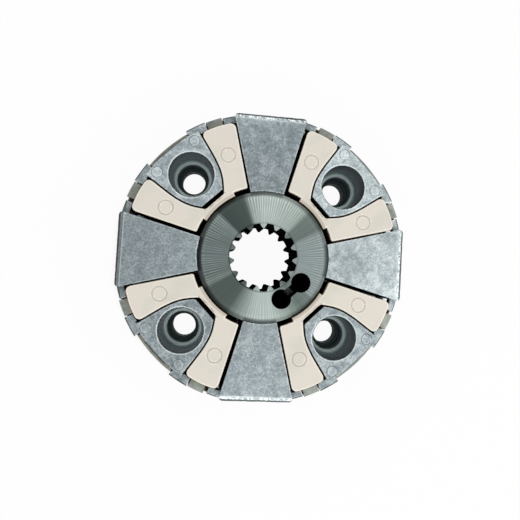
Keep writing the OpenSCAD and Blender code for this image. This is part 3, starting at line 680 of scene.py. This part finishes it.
@dataclass(frozen=True)
class MouldedPolyamide:
    """Injection-moulded polyamide, unfilled and undyed: warm cream with a soft satin gloss.

    Its rim is drawn olive grey and its gaps brown to nearly black, as painted shade.
    """

    name: str = "moulded_polyamide"
    shade: str = "#dfdacd"
    base: str = "#e6e0d4"
    warm: str = "#e9e0d5"
    # The rim's painted shade: its dark, middle and light olive greys
    rim_shade_dark: str = "#858d83"
    shaded_rim: str = "#9ea69f"
    rim_shade_light: str = "#b0b7b0"
    # The brown and the near black of the painted shade in the gaps and beside the hub
    brown_shade: str = "#8f7b60"
    painted_dark: str = "#17130f"
    tone_mm: float = 22.0
    # The real skin's grain is about 0.5 mm; as fine as that it wouldn't show
    speck_mm: float = 3.0
    mottle_mm: float = 6.0
    relief_mm: float = 0.05
    gap: Gap = Gap(12.0, 0.25, 0.75)
    # From this radius outwards the rim is drawn olive grey as painted shade, and inside this one the edge beside
    # the hub takes a brown painted shade
    rim_at_mm: float = 104.6
    hub_side_mm: float = 52.0
    hub_edge_shade: float = 0.45
    # Places farther off the middle plane than this are on the front or back faces, which take almost none of the
    # painted gap shade
    faces_off_mm: float = 23.0
    mark_at_mm: tuple[float, float] = (74.65, 31.69)
    mark_r_mm: float = 5.35

    def face(self, recipe: Recipe, place: NodeSocket, radius: NodeSocket, mottle: NodeSocket) -> NodeSocket:
        """Colours the cream faces, with painted highlights on the rounded edges, darker moulding marks and a
        brown painted shade beside the hub.

        Args:
            recipe: The material's recipe.
            place: The position on the object.
            radius: The distance from the shaft's axis.
            mottle: The noise that the mottling follows.

        Returns:
            The colour.
        """
        tone = recipe.add("TexNoise", {"Vector": place, "Scale": per_mm(self.tone_mm), "Detail": 2.0})
        cream = recipe.add("ValToRGB", (tone,), stops=((0.35, self.shade), (0.5, self.base), (0.65, self.warm)))
        # Painted highlight: the rounded edges are drawn brighter where they would catch the light
        upright = recipe.add("SeparateXYZ", (recipe.add("NewGeometry", output="Normal"),), "Z")
        level = recipe.add("Math", (upright,), operation="ABSOLUTE")
        turning = recipe.add("MapRange", (level, 0.998, 0.95))
        edge = recipe.add("Math", (turning, recipe.add("MapRange", (level, 0.4, 0.62))), operation="MULTIPLY")
        # The round moulding marks are drawn darker, more in some places than in others
        centre = recipe.away(*recipe.folded(place), self.mark_at_mm)
        groove = recipe.add("MapRange", (recipe.off(centre, self.mark_r_mm), 0.7, 0.3))
        edge_highlight = recipe.add("Math", (edge, recipe.add("MapRange", (groove, 0, 0.1, 1, 0))),
                              operation="MULTIPLY")
        dark_line = recipe.add("Math", (groove, recipe.add("MapRange", (mottle, 0.38, 0.62, 0.35, 1))),
                          operation="MULTIPLY")
        light = recipe.add("Math", (recipe.add("MapRange", (edge_highlight, 0, 1, 0.985, 1.24)),
                                    recipe.add("MapRange", (dark_line, 0, 1, 1, 0.82))), operation="MULTIPLY")
        fresh = recipe.add("VectorMath", {0: cream, "Scale": light}, operation="SCALE")
        # Painted shade: the edge beside the hub is tinted brown
        hub_edge_shaded = recipe.add("MapRange", (radius, self.hub_side_mm + 1.0, self.hub_side_mm, 0, self.hub_edge_shade))
        return recipe.add("Mix", {"Factor": hub_edge_shaded, COLOUR_A: fresh, COLOUR_B: self.brown_shade}, COLOUR_OUT,
                          data_type="RGBA")

    def rim(self, recipe: Recipe, place: NodeSocket, mottle: NodeSocket) -> NodeSocket:
        """Colours the rim in painted shade: olive grey, mottled, darker towards the upper left.

        Args:
            recipe: The material's recipe.
            place: The position on the object.
            mottle: The noise that the mottling follows.

        Returns:
            The colour.
        """
        olive = recipe.add("ValToRGB", (mottle,), stops=((0.36, self.rim_shade_dark), (0.5, self.shaded_rim), (0.66, self.rim_shade_light)))
        # Painted shade: darker towards the upper left
        across = recipe.add("VectorMath", (place, (math.sqrt(0.5), -math.sqrt(0.5), 0)), "Value",
                            operation="DOT_PRODUCT")
        side_shade = recipe.add("MapRange", (across, -100 * MM, 100 * MM, 0.6, 1.04))
        return recipe.add("VectorMath", {0: olive, "Scale": side_shade}, operation="SCALE")

    def build(self) -> Material:
        """Joins all that the finish draws in one material.

        Returns:
            The material.
        """
        material, recipe = blank(self.name)
        place = recipe.add("TexCoord", output="Object")
        radius, height = recipe.radius(place), recipe.height(place)
        mottle = recipe.add("TexNoise", {"Vector": place, "Scale": per_mm(self.mottle_mm), "Detail": 5.0,
                                       "Roughness": 0.65})
        at_rim = recipe.add("MapRange", (radius, self.rim_at_mm - 0.5, self.rim_at_mm + 0.5))
        shaded_rim = recipe.add("Mix", {"Factor": at_rim, COLOUR_A: self.face(recipe, place, radius, mottle),
                                  COLOUR_B: self.rim(recipe, place, mottle)}, COLOUR_OUT, data_type="RGBA")
        skin = recipe.add("Math", (recipe.off(height, MIDDLE_MM), self.faces_off_mm), operation="GREATER_THAN")
        # Painted shade: gaps go brown, then nearly black deep down, and lose their gloss; the front and back
        # faces take almost none
        unshaded = recipe.add("Math", (recipe.openness(self.gap),
                                    recipe.add("Math", (skin, 0.96), operation="MULTIPLY")),
                           operation="MAXIMUM")
        brown = recipe.add("Mix", {"Factor": recipe.add("MapRange", (unshaded, 0, 0.55)),
                                   COLOUR_A: self.painted_dark, COLOUR_B: self.brown_shade}, COLOUR_OUT,
                           data_type="RGBA")
        colour = recipe.add("Mix", {"Factor": recipe.add("MapRange", (unshaded, 0.55, 1)),
                                    COLOUR_A: brown, COLOUR_B: shaded_rim}, COLOUR_OUT, data_type="RGBA")
        speck = recipe.add("TexNoise", {"Vector": place, "Scale": per_mm(self.speck_mm), "Detail": 3.0})
        bump = recipe.add("Bump", {"Height": speck, "Distance": self.relief_mm * MM, "Strength": 0.3})
        recipe.show(recipe.add("BsdfPrincipled", {
            "Base Color": colour, "IOR": 1.53, "Normal": bump,
            "Roughness": recipe.add("MapRange", (unshaded, 0, 1, 1.0, 0.5)),
            "Specular IOR Level": recipe.add("Math", (unshaded, 0.5), operation="MULTIPLY")}))
        return material


def dress(names: list[str], finish: Material) -> None:
    """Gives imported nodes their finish.

    Args:
        names: The nodes.
        finish: The material that every face of theirs takes.
    """
    for name in names:
        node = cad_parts[name]
        node.data.materials.clear()
        node.data.materials.append(finish)
        log.info("%s dressed in %s", name, finish.name)


def uneven(at: Vector, size_mm: float, seed: int) -> float:
    """Gives a smooth uneven value from 0 to 1 that changes over about size_mm.

    Args:
        at: The place, in metres.
        size_mm: The distance over which the value changes.
        seed: Sets one piece off from the next.

    Returns:
        The value.
    """
    return 0.5 + 0.5 * noise.noise(at / (size_mm * MM) + Vector((17.3, 5.1, 9.7)) * seed)


@dataclass
class FinePiece:
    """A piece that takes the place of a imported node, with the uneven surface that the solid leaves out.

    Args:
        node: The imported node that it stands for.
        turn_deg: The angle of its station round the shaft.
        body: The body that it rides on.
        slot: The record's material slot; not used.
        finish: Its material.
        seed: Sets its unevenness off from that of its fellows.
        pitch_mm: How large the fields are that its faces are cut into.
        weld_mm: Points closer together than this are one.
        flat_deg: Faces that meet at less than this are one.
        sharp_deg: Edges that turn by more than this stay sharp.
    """

    node: str
    turn_deg: float
    body: Body
    slot: str
    finish: Material
    seed: int
    pitch_mm: float = 1.5
    weld_mm: float = 0.001
    # Sets each cut off a little, so that none runs along a face
    cut_off_mm: float = 0.003
    flat_deg: float = 0.2
    sharp_deg: float = 50.0

    def own_blank(self) -> BMesh:
        """Copies the node's shape into the piece's own axes and cuts its faces into small fields.

        Returns:
            The mesh, which stands as if at the station on +X.
        """
        mesh = bmesh.new()
        mesh.from_mesh(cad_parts[self.node].data)
        bmesh.ops.remove_doubles(mesh, verts=mesh.verts, dist=self.weld_mm * MM)
        mesh.transform(Matrix.Rotation(-math.radians(self.turn_deg), 4, "Z"))
        bmesh.ops.dissolve_limit(mesh, angle_limit=math.radians(self.flat_deg), verts=mesh.verts,
                                 edges=mesh.edges)
        for axis in (Vector((1, 0, 0)), Vector((0, 1, 0)), Vector((0, 0, 1))):
            reach = [vert.co.dot(axis) for vert in mesh.verts]
            low, high = min(reach), max(reach)
            fields = math.ceil((high - low) / (self.pitch_mm * MM))
            for k in range(1, fields):
                at = low + (high - low) * k / fields + self.cut_off_mm * MM
                bmesh.ops.bisect_plane(mesh, geom=[*mesh.verts, *mesh.edges, *mesh.faces],
                                       dist=self.weld_mm * MM, plane_co=axis * at, plane_no=axis)
        bmesh.ops.triangulate(mesh, faces=mesh.faces[:])
        mesh.normal_update()
        return mesh

    def sink(self, vert: BMVert) -> float:
        """Says how far a point lies under the plain solid, in millimetres; never below 0."""
        return 0.0

    def build(self) -> Object:
        """Makes the piece, hides its node and ties it to its body.

        Returns:
            The piece's object.
        """
        mesh = self.own_blank()
        moves = [(vert, vert.normal * (self.sink(vert) * MM)) for vert in mesh.verts]
        low, high = (pick(vert.co.z for vert in mesh.verts) for pick in (min, max))
        for vert, move in moves:
            vert.co -= move
            vert.co.z = min(max(vert.co.z, low), high)
        mesh.transform(Matrix.Rotation(math.radians(self.turn_deg), 4, "Z"))
        data = bpy.data.meshes.new(f"{self.node}_fine")
        mesh.to_mesh(data)
        mesh.free()
        for face in data.polygons:
            face.use_smooth = True
        data.set_sharp_from_angle(angle=math.radians(self.sharp_deg))
        data.materials.append(self.finish)
        piece = bpy.data.objects.new(f"{self.node}_fine", data)
        bpy.context.scene.collection.objects.link(piece)
        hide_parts(self.node)
        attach(piece, self.body.value)
        log.info("%s: %d triangles", piece.name, len(data.polygons))
        return piece


@dataclass
class Wing(FinePiece):
    """A die-cast wing: slightly wavy faces, and nicks along the bevel of its outer end."""

    wave_mm: float = 0.06
    wave_long_mm: float = 9.0
    nick_mm: float = 0.7
    nick_long_mm: float = 2.6
    # From this distance outwards nicks set in, and over this one they come to their full depth
    nicks_from_mm: float = 101.9
    nicks_over_mm: float = 2.0
    # Only the peaks of the unevenness above this make nicks, and only above this height
    nick_above: float = 0.48
    front_edge_mm: float = 44.5

    def sink(self, vert: BMVert) -> float:
        """Says how far a point lies under the plain solid.

        Args:
            vert: The point.

        Returns:
            Its depth in millimetres.
        """
        wave = self.wave_mm * uneven(vert.co, self.wave_long_mm, self.seed)
        near = max(0.0, min(1.0, (vert.co.x / MM - self.nicks_from_mm) / self.nicks_over_mm))
        nick = max(0.0, uneven(vert.co, self.nick_long_mm, self.seed + STATIONS) - self.nick_above)
        front = vert.co.z > self.front_edge_mm * MM
        return wave + (near * nick * self.nick_mm if front else 0.0)


@dataclass
class BoltInsert(FinePiece):
    """A die-cast insert: slightly wavy outside, true inside its bolt hole and on its seat."""

    wave_mm: float = 0.06
    wave_long_mm: float = 7.0
    # The recess and how far outside it the waves come to their full height
    hole_at_mm: float = 81.5
    hole_r_mm: float = 17.6
    waves_over_mm: float = 2.0

    def sink(self, vert: BMVert) -> float:
        """Says how far a point lies under the plain solid.

        Args:
            vert: The point.

        Returns:
            Its depth in millimetres.
        """
        away = math.hypot(vert.co.x / MM - self.hole_at_mm, vert.co.y / MM)
        outside = max(0.0, min(1.0, (away - self.hole_r_mm) / self.waves_over_mm))
        return outside * self.wave_mm * uneven(vert.co, self.wave_long_mm, self.seed)


@dataclass
class Cushion(FinePiece):
    """A moulded cushion: its arms have sunk a little in their middles as the plastic cooled."""

    wave_mm: float = 0.04
    wave_long_mm: float = 12.0
    sink_mm: float = 0.22
    # Where the middle of an arm is, and how far from it the sunken part reaches
    arm_angle_deg: float = 22.0
    arm_r_mm: float = 80.0
    sink_long_mm: float = 22.0
    sink_wide_mm: float = 8.0

    def sink(self, vert: BMVert) -> float:
        """Says how far a point lies under the plain solid.

        Args:
            vert: The point.

        Returns:
            Its depth in millimetres.
        """
        turn = math.radians(self.arm_angle_deg)
        middle = Vector((math.cos(turn), math.sin(turn))) * self.arm_r_mm * MM
        away = Vector((vert.co.x, abs(vert.co.y))) - middle
        along = away.dot(middle.normalized()) / (self.sink_long_mm * MM)
        across = away.dot(middle.normalized().orthogonal()) / (self.sink_wide_mm * MM)
        hollow = max(0.0, 1 - along * along - across * across)
        return (self.wave_mm * uneven(vert.co, self.wave_long_mm, self.seed)
                + self.sink_mm * hollow * abs(vert.normal.z))


@dataclass
class HubSide:
    """The splined hub, its clamp screw, the four wings and the screws that hold them."""

    rest_twist_deg: float = 0.5
    steel: TurnedSteel = TurnedSteel()
    screw_steel: BlackenedSteel = BlackenedSteel()
    castings: tuple[DieCastAluminium, ...] = (
        DieCastAluminium("cast_aluminium_wing_1", CastTone.BRIGHT, WING_LIP_MM, inner=0.9, outer=1.03,
                         bevel=0.78),
        DieCastAluminium("cast_aluminium_wing_2", CastTone.DULL, WING_LIP_MM, inner=0.9, outer=1.13,
                         bevel=0.8, flecks=0.8, cloudy=0.8, seams=1.0),
        DieCastAluminium("cast_aluminium_wing_3", CastTone.DULL, WING_LIP_MM, inner=1.09, outer=0.89,
                         bevel=0.54, flecks=0.1, cloudy=0.3, crease=0.45),
        DieCastAluminium("cast_aluminium_wing_4", CastTone.FAIR, WING_LIP_MM, inner=0.95, outer=1.02,
                         bevel=1.05, flecks=0.9, cloudy=0.6),
    )

    def dress_steel(self) -> None:
        """Gives the hub and the five screws their finishes."""
        dress(["hub"], self.steel.build())
        screws = [f"wing_screw_{k + 1}" for k in range(STATIONS)]
        dress(["clamp_screw", *screws], self.screw_steel.build())

    def build_wings(self) -> None:
        """Builds the four wings, which stand half a degree off the middles between the inserts."""
        for k, casting in enumerate(self.castings):
            Wing(f"wing_{k + 1}", k * QUARTER_DEG + self.rest_twist_deg, Body.HUB_SIDE, "wing_casting",
                 casting.build(), k).build()

    def build(self) -> None:
        """Builds and dresses each piece that turns with the hub."""
        self.dress_steel()
        self.build_wings()


@dataclass
class FlangeSide:
    """The four inserts that are screwed to the flywheel, each in its cushion."""

    plastic: MouldedPolyamide = MouldedPolyamide()
    castings: tuple[DieCastAluminium, ...] = (
        DieCastAluminium("cast_aluminium_insert_1", CastTone.BRIGHT, INSERT_LIP_MM, inner=1.06, outer=1.06),
        DieCastAluminium("cast_aluminium_insert_2", CastTone.FAIR, INSERT_LIP_MM, inner=1.06, outer=1.06),
        DieCastAluminium("cast_aluminium_insert_3", CastTone.DULL, INSERT_LIP_MM, inner=0.98, outer=0.98),
        DieCastAluminium("cast_aluminium_insert_4", CastTone.FAIR, INSERT_LIP_MM),
    )

    def build(self) -> None:
        """Builds each insert and its cushion."""
        plastic = self.plastic.build()
        for k, casting in enumerate(self.castings):
            at_deg = (k + 0.5) * QUARTER_DEG
            BoltInsert(f"bolt_insert_{k + 1}", at_deg, Body.FLANGE_SIDE, "insert_casting",
                       casting.build(), k).build()
            Cushion(f"cushion_{k + 1}", at_deg, Body.FLANGE_SIDE, "cushion_polymer", plastic, k).build()


@dataclass
class SoftBox:
    """One soft lamp over the table.

    Args:
        azimuth_deg: Its direction from the part.
        height: Its height over the floor, in metres.
        reach: Its distance from the shaft's axis, in metres.
        width: Its width, in metres.
        length: Its length, in metres.
        watts: Its power.
    """

    azimuth_deg: float
    height: float
    reach: float
    width: float
    length: float
    watts: float

    def build(self, name: str) -> None:
        """Hangs the lamp so that it faces the part.

        Args:
            name: The lamp's name.
        """
        lamp = bpy.data.lights.new(name, "AREA")
        lamp.shape = "RECTANGLE"
        lamp.size, lamp.size_y = self.width, self.length
        lamp.energy = self.watts
        holder = bpy.data.objects.new(name, lamp)
        turn = math.radians(self.azimuth_deg)
        holder.location = (self.reach * math.cos(turn), self.reach * math.sin(turn), self.height)
        holder.rotation_euler = (-holder.location).to_track_quat("-Z", "Y").to_euler()
        bpy.context.scene.collection.objects.link(holder)


@dataclass
class Studio:
    """The floor, the lamps and the camera."""

    floor_size: float = 8.0
    floor_drop_mm: float = 0.05
    card: str = "#f4f4f2"
    white: str = "#ffffff"
    gap: Gap = Gap(14.0, 0.6, 0.95)
    # The floor lies free of the coupling's shade inside these radii round the shaft and the bolts
    bore_r_mm: float = 27.0
    hole_r_mm: float = 10.0
    # How strong the light from all round is, where 1 is the white backdrop
    ambient: float = 0.45
    # The photograph's camera, as fitted to the circles of the front faces and of the bores
    focal_px: float = 467.0
    principal_px: tuple[float, float] = (269.57, 254.25)
    turn_deg: tuple[float, float, float] = (-3.713, 6.254, -1.674)
    shift_mm: tuple[float, float] = (-4.318, -2.249)
    distance_mm: float = 349.69
    sensor_mm: float = 36.0
    # The soft boxes draw the light and dark fans on the turned hub
    boxes: tuple[SoftBox, ...] = (
        SoftBox(90, 0.50, 0.60, 0.45, 0.35, 1.1),
        SoftBox(270, 0.50, 0.60, 0.45, 0.35, 1.3),
        SoftBox(180, 0.50, 0.60, 0.35, 0.35, 0.7),
        SoftBox(-15, 0.50, 0.60, 0.50, 0.35, 1.6),
    )

    def seen(self, recipe: Recipe) -> NodeSocket:
        """Finds the rays that look at the backdrop straight, by a mirror or through glass.

        Args:
            recipe: The recipe of the floor or of the world.

        Returns:
            1 for those rays and 0 for the rest.
        """
        straight = recipe.add("LightPath", output="Is Camera Ray")
        rays = straight.node.outputs
        mirrored = recipe.add("Math", (straight, rays["Is Glossy Ray"]), operation="MAXIMUM")
        return recipe.add("Math", (mirrored, rays["Is Transmission Ray"]), operation="MAXIMUM")

    def world(self) -> None:
        """Makes the white backdrop and the even light that comes from all round."""
        world = bpy.data.worlds.new("studio")
        bpy.context.scene.world = world
        world.use_nodes = True
        world.node_tree.nodes.clear()
        recipe = Recipe(world.node_tree)
        strength = recipe.add("MapRange", (self.seen(recipe), 0, 1, self.ambient, 1.0))
        recipe.show(recipe.add("Background", {"Color": self.white, "Strength": strength}), "World")

    def white_card(self) -> Material:
        """Makes the floor's material: white card, smooth and matt, which lies in shade close to the coupling.

        Returns:
            The material.
        """
        material, recipe = blank("white_card")
        card = recipe.add("BsdfDiffuse", {"Color": self.card})
        white = recipe.add("Emission", {"Color": self.white, "Strength": 1.0})
        place = recipe.add("TexCoord", output="Object")
        # The narrow gaps show dark, but the bore and the bolt holes show white
        bore = recipe.add("Math", (recipe.radius(place), self.bore_r_mm), operation="LESS_THAN")
        bolt = recipe.add("Math", (recipe.away(*recipe.folded(place), BOLT_AT_MM), self.hole_r_mm),
                          operation="LESS_THAN")
        under = recipe.add("Math", (bore, bolt), operation="MAXIMUM")
        free = recipe.add("Math", (recipe.openness(self.gap), under), operation="MAXIMUM")
        bright = recipe.add("Math", (self.seen(recipe), 0.95), operation="MULTIPLY")
        share = recipe.add("Math", (bright, free), operation="MULTIPLY")
        recipe.show(recipe.add("MixShader", (share, card, white)))
        return material

    def floor(self) -> None:
        """Lays the pale floor that the coupling stands on."""
        half = self.floor_size / 2
        mesh = bpy.data.meshes.new("floor")
        mesh.from_pydata([(-half, -half, 0), (half, -half, 0), (half, half, 0), (-half, half, 0)], [],
                         [(0, 1, 2, 3)])
        mesh.materials.append(self.white_card())
        floor = bpy.data.objects.new("floor", mesh)
        floor.location.z = -self.floor_drop_mm * MM
        bpy.context.scene.collection.objects.link(floor)

    def camera(self) -> None:
        """Sets the camera where the photograph was taken from."""
        data = bpy.data.cameras.new("camera")
        camera = bpy.data.objects.new("camera", data)
        bpy.context.scene.collection.objects.link(camera)
        data.sensor_width = self.sensor_mm
        data.lens = self.focal_px / PHOTO_PX * self.sensor_mm
        half = PHOTO_PX / 2
        data.shift_x = (half - self.principal_px[0]) / PHOTO_PX
        data.shift_y = -(half - self.principal_px[1]) / PHOTO_PX
        z, y, x = (math.radians(t) for t in self.turn_deg)
        turn = Matrix.Rotation(x, 3, "X") @ Matrix.Rotation(y, 3, "Y") @ Matrix.Rotation(z, 3, "Z")
        eye = turn.transposed() @ -Vector((*self.shift_mm, -self.distance_mm)) + Vector((0, 0, FRONT_MM))
        camera.matrix_world = Matrix.Translation(eye * MM) @ turn.transposed().to_4x4()
        bpy.context.scene.camera = camera

    def build(self) -> None:
        """Builds the whole studio."""
        self.world()
        self.floor()
        for k, box in enumerate(self.boxes):
            box.build(f"soft_box_{k + 1}")
        self.camera()
        bpy.context.scene.view_settings.view_transform = "Standard"


def main() -> None:
    """Builds the coupling and sets the studio up round it."""
    logging.basicConfig(level=logging.INFO, format="%(message)s")
    HubSide().build()
    FlangeSide().build()
    Studio().build()


if __name__ == "__main__":
    main()
